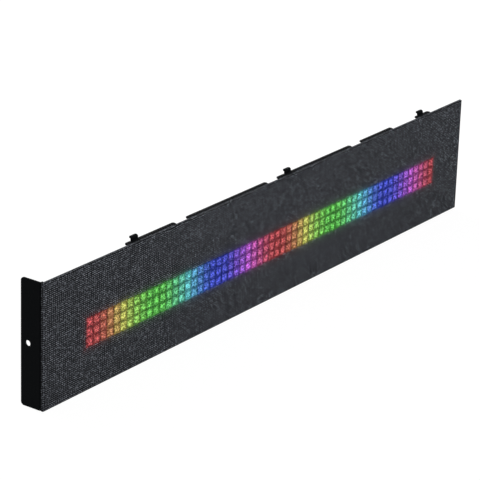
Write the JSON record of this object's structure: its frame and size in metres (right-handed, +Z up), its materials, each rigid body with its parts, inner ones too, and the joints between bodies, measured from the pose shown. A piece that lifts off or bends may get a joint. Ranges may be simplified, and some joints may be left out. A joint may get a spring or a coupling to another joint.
{
  "type": "led matrix panel",
  "caption": "Long slim LED matrix panel: cells glow through a cloth-covered front board on a folded sheet-metal chassis with a deep left end flange, top tabs and small hooks.",
  "frame": {"origin": "bottom centre of the overall bounding box, on the surface the panel stands on", "axes": "+X along the panel to the viewer's right, +Y from the cloth front to the open back, +Z up"},
  "size_m": [0.715, 0.028, 0.132],
  "materials": {
    "powder_coat": "satin black powder coat",
    "board_plastic": "matt black",
    "cloth": "charcoal woven cloth that the lit cells shine through",
    "lens_red": "milky resin lit red from behind",
    "lens_yellow": "milky resin lit yellow from behind",
    "lens_green": "milky resin lit green from behind",
    "lens_cyan": "milky resin lit cyan from behind",
    "lens_blue": "milky resin lit blue from behind",
    "lens_magenta": "milky resin lit magenta from behind",
    "grid_plastic": "matt black moulding",
    "circuit_board": "black solder mask",
    "led_package": "white package",
    "chip_resin": "black moulded resin",
    "capacitor_ceramic": "brown ceramic",
    "connector_plastic": "black nylon",
    "coil_ferrite": "dark grey ferrite",
    "can_aluminium": "bare can",
    "header_plastic": "natural nylon",
    "pin_metal": "plated pins",
    "zinc_steel": "zinc plated"
  },
  "bodies": {
    "root": {"chassis": "powder_coat", "front_board": "board_plastic", "fabric_cover": "cloth", "light_grid_1": "grid_plastic", "light_grid_2": "grid_plastic", "light_grid_3": "grid_plastic", "light_grid_4": "grid_plastic", "cell_lenses_red": "lens_red", "cell_lenses_yellow": "lens_yellow", "cell_lenses_green": "lens_green", "cell_lenses_cyan": "lens_cyan", "cell_lenses_blue": "lens_blue", "cell_lenses_magenta": "lens_magenta", "led_board_1": "circuit_board", "led_board_2": "circuit_board", "led_board_3": "circuit_board", "led_board_4": "circuit_board", "leds_1": "led_package", "leds_2": "led_package", "leds_3": "led_package", "leds_4": "led_package", "driver_chips_1": "chip_resin", "driver_chips_2": "chip_resin", "driver_chips_3": "chip_resin", "driver_chips_4": "chip_resin", "filter_capacitors": "capacitor_ceramic", "link_plugs": "connector_plastic", "link_sockets": "connector_plastic", "controller_board": "circuit_board", "controller_chip": "chip_resin", "controller_plug": "connector_plastic", "controller_socket": "connector_plastic", "power_coil": "coil_ferrite", "can_capacitors": "can_aluminium", "input_header": "header_plastic", "input_pins": "pin_metal", "controller_pillars": "zinc_steel", "controller_nuts": "zinc_steel"}
  },
  "joints": []
}
